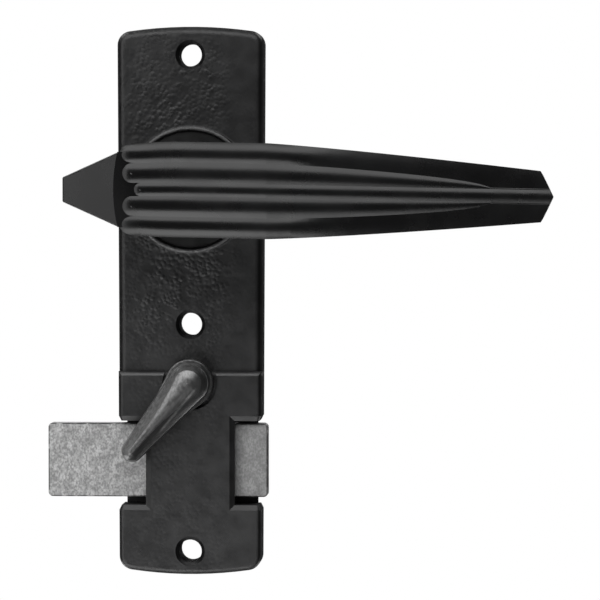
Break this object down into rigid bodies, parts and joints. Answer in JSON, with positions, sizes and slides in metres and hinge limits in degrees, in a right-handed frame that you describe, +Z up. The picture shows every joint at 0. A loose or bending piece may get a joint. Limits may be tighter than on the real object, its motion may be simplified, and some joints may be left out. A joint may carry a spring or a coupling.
{
  "type": "storm door lever latch",
  "caption": "Surface-mounted inside handle for a storm or screen door: black escutcheon plate, reeded lever with a wedge latch nose, thumb snib and sliding night bolt.",
  "frame": {"origin": "on the lever's axis at the door face, half-way between the top and middle screw holes", "axes": "+Y into the door, +Z up, +X towards the free end of the lever"},
  "size_m": [0.1216, 0.0341, 0.1318],
  "materials": {
    "plate_black": "hammered black paint on a zinc casting",
    "lever_black": "smooth satin black paint on a zinc casting",
    "snib_gunmetal": "dark satin nickel",
    "bolt_zinc": "dull speckled zinc plate",
    "spring_steel": "drawn spring wire and strip",
    "pressed_steel": "yellow zinc passivate",
    "fixing_steel": "black oxide",
    "washer_nylon": "natural nylon"
  },
  "bodies": {
    "plate": {"escutcheon_plate": "plate_black", "return_spring": "spring_steel", "bow_spring": "spring_steel"},
    "lever": {"main_lever": "lever_black", "grub_screw": "fixing_steel", "thrust_washer": "washer_nylon", "spring_cam": "pressed_steel", "snap_ring": "fixing_steel"},
    "snib": {"snib_lever": "snib_gunmetal", "cone_washer": "spring_steel", "snib_crank": "pressed_steel", "snib_clip": "fixing_steel"},
    "bolt": {"bolt_bar": "bolt_zinc"}
  },
  "joints": [
    {"name": "lever_turn", "type": "hinge", "parent": "plate", "child": "lever", "pos_m": [0, 0, 0], "axis": [0, -1, 0], "range_deg": [-30, 30], "stiffness_Nm_per_rad": 1.2, "deforming": ["return_spring"]},
    {"name": "bolt_slide", "type": "slide", "parent": "plate", "child": "bolt", "axis": [1, 0, 0], "range_m": [0, 0.016]},
    {"name": "snib_turn", "type": "hinge", "parent": "plate", "child": "snib", "pos_m": [0, 0, -0.0464], "axis": [0, -1, 0], "range_deg": [0, 80]}
  ],
  "couplings": [
    {"joint": "snib_turn", "follows": "bolt_slide", "rad_per_m": 87.266}
  ]
}
